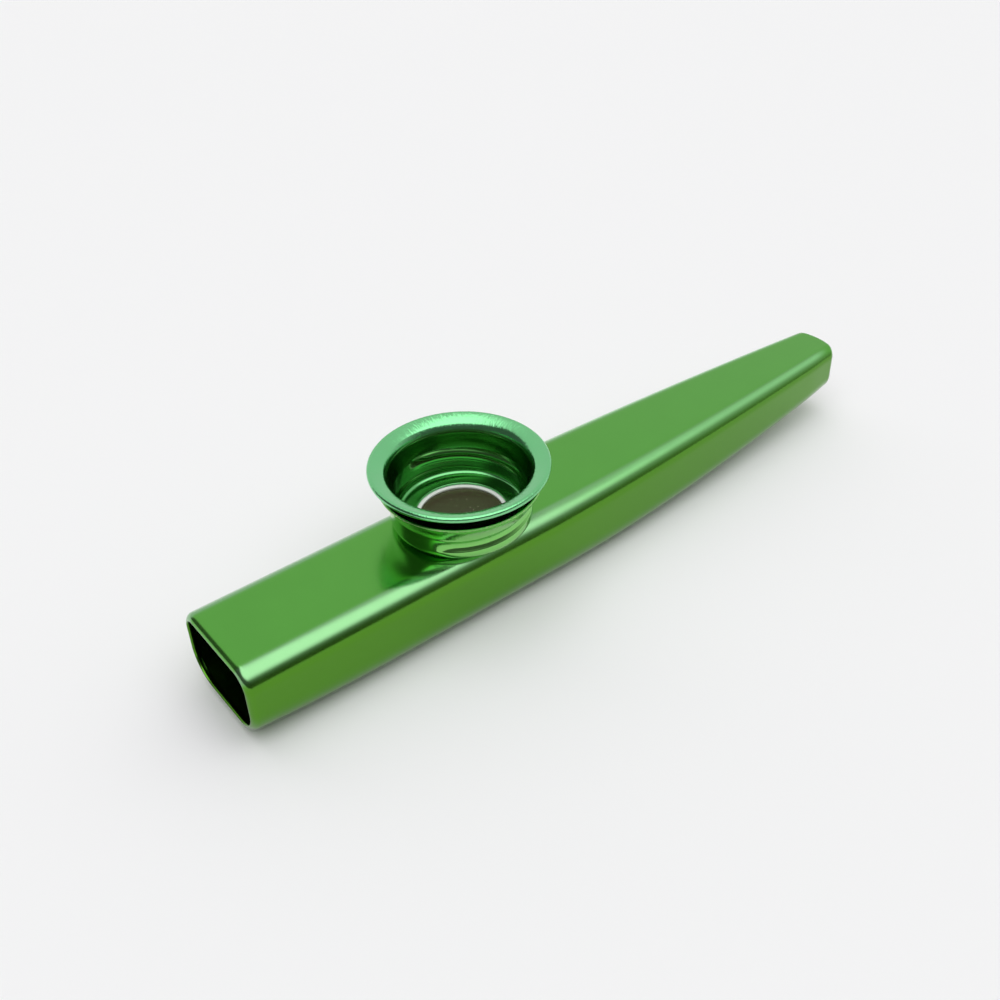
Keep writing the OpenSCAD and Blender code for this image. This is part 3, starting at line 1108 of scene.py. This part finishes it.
def add_camera(scene):
    """The camera of the photo, worked out from the outlines and circles in it.

    It turns round a point on the line of the tube's top by an azimuth, an elevation and
    a roll, and the point lies off the middle of the picture by a few millimetres.
    """
    size = scene.kazoo_tube
    azimuth, elevation, roll = (math.radians(v) for v in CAMERA_TURNS)
    level = math.cos(elevation)
    back = (math.sin(azimuth) * level, -math.cos(azimuth) * level, math.sin(elevation))
    back = np.array(back)
    right = np.array((math.cos(azimuth), math.sin(azimuth), 0.0))
    up = np.cross(back, right)
    tilted_right = math.cos(roll) * right + math.sin(roll) * up
    tilted_up = math.cos(roll) * up - math.sin(roll) * right
    aim = np.array((AIM_FROM_END - size.length / 2, 0.0, size.height))
    aside = tilted_right * (AIM_X - PICTURE_MIDDLE)
    aside += tilted_up * (PICTURE_MIDDLE - AIM_Y)
    place = aim + (back - aside / CAMERA_FOCAL) * CAMERA_DISTANCE
    data = bpy.data.cameras.new("camera")
    data.sensor_width = SENSOR_WIDTH
    data.lens = CAMERA_FOCAL / (2 * PICTURE_MIDDLE) * data.sensor_width
    data.clip_start, data.clip_end = CAMERA_CLIP
    camera = bpy.data.objects.new("camera", data)
    scene.collection.objects.link(camera)
    axes = np.column_stack((tilted_right, tilted_up, back, place))
    camera.matrix_world = Matrix([*axes.tolist(), [0, 0, 0, 1]])
    scene.camera = camera


# Operators and panel


class KAZOO_OT_stage(Operator):
    """Makes the floor, the light of the room and the camera"""

    bl_idname = "kazoo.stage"
    bl_label = "Stage"

    def execute(self, context):
        make_stage(context.scene)
        return {"FINISHED"}


class KAZOO_OT_tube(Operator):
    """Makes the tube"""

    bl_idname = "kazoo.tube"
    bl_label = "Tube"

    def execute(self, context):
        make_tube(context.scene)
        return {"FINISHED"}


class KAZOO_OT_cup(Operator):
    """Makes the cup on the tube"""

    bl_idname = "kazoo.cup"
    bl_label = "Cup"

    def execute(self, context):
        make_cup(context.scene)
        return {"FINISHED"}


class KAZOO_OT_cap(Operator):
    """Makes the screw cap"""

    bl_idname = "kazoo.cap"
    bl_label = "Cap"

    def execute(self, context):
        make_cap(context.scene)
        return {"FINISHED"}


class KAZOO_OT_membrane(Operator):
    """Makes the white ring and the film"""

    bl_idname = "kazoo.membrane"
    bl_label = "Membrane"

    def execute(self, context):
        scene = context.scene
        for piece, node, slot, finish in (
            (make_ring(scene), "membrane_ring", "white_ring", ring_plastic),
            (make_film(scene), "membrane_film", "film", film_plastic),
        ):
            piece.data.materials.append(finish(scene))
            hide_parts(node)
            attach(piece, "membrane")
        return {"FINISHED"}


class KAZOO_PT_panel(Panel):
    """Sizes, colours and the steps that build the kazoo"""

    bl_idname = "KAZOO_PT_panel"
    bl_label = "Kazoo"
    bl_space_type = "VIEW_3D"
    bl_region_type = "UI"
    bl_category = "Kazoo"

    def draw(self, context):
        for step in STEPS:
            self.layout.operator(step.bl_idname)
        for name in GROUPS:
            group = getattr(context.scene, name)
            box = self.layout.box()
            for key in group.__annotations__:
                box.prop(group, key)


STEPS = (
    KAZOO_OT_stage,
    KAZOO_OT_tube,
    KAZOO_OT_cup,
    KAZOO_OT_cap,
    KAZOO_OT_membrane,
)
GROUPS = {
    "kazoo_tube": KazooTubeSizes,
    "kazoo_cup": KazooCupSizes,
    "kazoo_cap": KazooCapSizes,
    "kazoo_membrane": KazooMembraneSizes,
    "kazoo_colours": KazooColours,
}


def register():
    """Registers the classes and puts the groups of sizes and colours on the scene."""
    for cls in (*GROUPS.values(), *STEPS, KAZOO_PT_panel):
        bpy.utils.register_class(cls)
    for name, group in GROUPS.items():
        setattr(bpy.types.Scene, name, PointerProperty(type=group))


def unregister():
    """Takes them away again."""
    for name in GROUPS:
        delattr(bpy.types.Scene, name)
    for cls in reversed((*GROUPS.values(), *STEPS, KAZOO_PT_panel)):
        bpy.utils.unregister_class(cls)


def main():
    register()
    bpy.ops.kazoo.stage()
    bpy.ops.kazoo.tube()
    bpy.ops.kazoo.cup()
    bpy.ops.kazoo.cap()
    bpy.ops.kazoo.membrane()


if __name__ == "__main__":
    main()
